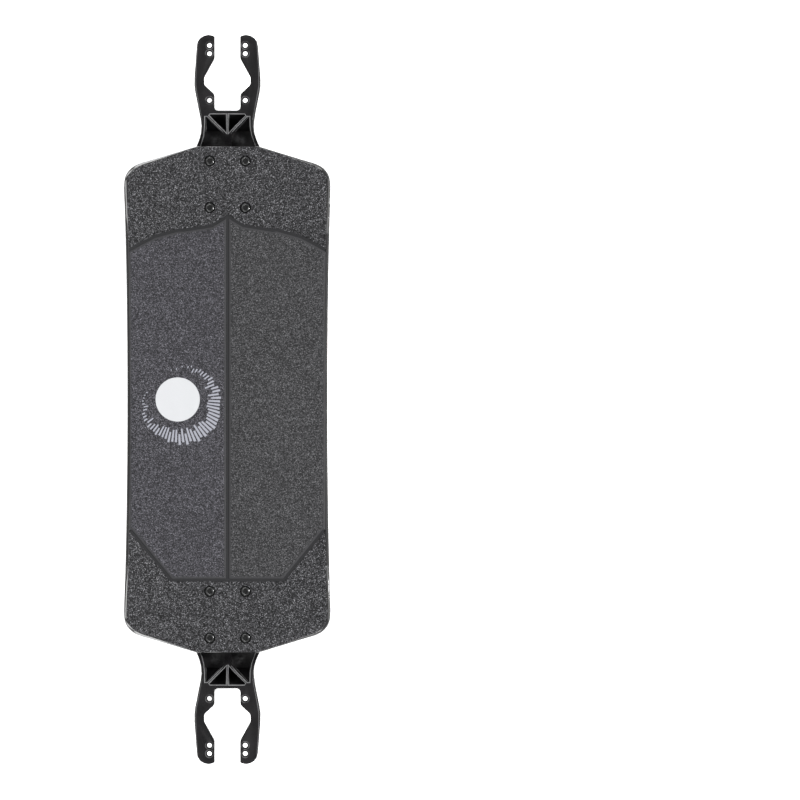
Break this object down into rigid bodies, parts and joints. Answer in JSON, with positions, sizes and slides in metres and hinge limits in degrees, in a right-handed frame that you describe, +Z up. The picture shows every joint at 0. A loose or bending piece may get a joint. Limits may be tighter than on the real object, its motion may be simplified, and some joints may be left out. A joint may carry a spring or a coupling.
{
  "type": "longboard",
  "caption": "Concave longboard deck with gritty top sheets and pads, and a forked drop-through truck bracket bolted under each end. Trucks and wheels are not fitted.",
  "frame": {"origin": "middle of the board in plan, on the surface that it lies on, level with the flat undersides of both brackets", "axes": "+Y towards the front of the board, +Z up out of the gritty top, +X to the right of someone who faces the front"},
  "size_m": [0.2392, 0.842, 0.0389],
  "materials": {
    "bamboo": "satin",
    "gloss_laminate": "gloss",
    "matte_laminate": "matte",
    "edge_band": "gloss",
    "coarse_grit": "matte",
    "fine_grit": "matte",
    "bracket_alloy": "satin",
    "black_steel": "satin",
    "zinc_steel": "satin"
  },
  "bodies": {
    "root": {"deck_core": "bamboo", "bottom_laminate": "gloss_laminate", "top_laminate": "matte_laminate", "edge_rail": "edge_band", "front_grip": "coarse_grit", "rear_grip": "coarse_grit", "left_grip_pad": "fine_grit", "right_grip_pad": "fine_grit", "front_bracket": "bracket_alloy", "rear_bracket": "bracket_alloy", "front_left_main_bolt": "black_steel", "front_right_main_bolt": "black_steel", "rear_left_main_bolt": "black_steel", "rear_right_main_bolt": "black_steel", "front_left_main_washer": "black_steel", "front_right_main_washer": "black_steel", "rear_left_main_washer": "black_steel", "rear_right_main_washer": "black_steel", "front_left_main_nut": "black_steel", "front_right_main_nut": "black_steel", "rear_left_main_nut": "black_steel", "rear_right_main_nut": "black_steel", "front_left_lug_screw": "zinc_steel", "front_right_lug_screw": "zinc_steel", "rear_left_lug_screw": "zinc_steel", "rear_right_lug_screw": "zinc_steel", "front_left_lug_washer": "black_steel", "front_right_lug_washer": "black_steel", "rear_left_lug_washer": "black_steel", "rear_right_lug_washer": "black_steel", "front_left_lug_nut": "black_steel", "front_right_lug_nut": "black_steel", "rear_left_lug_nut": "black_steel", "rear_right_lug_nut": "black_steel"}
  },
  "joints": []
}
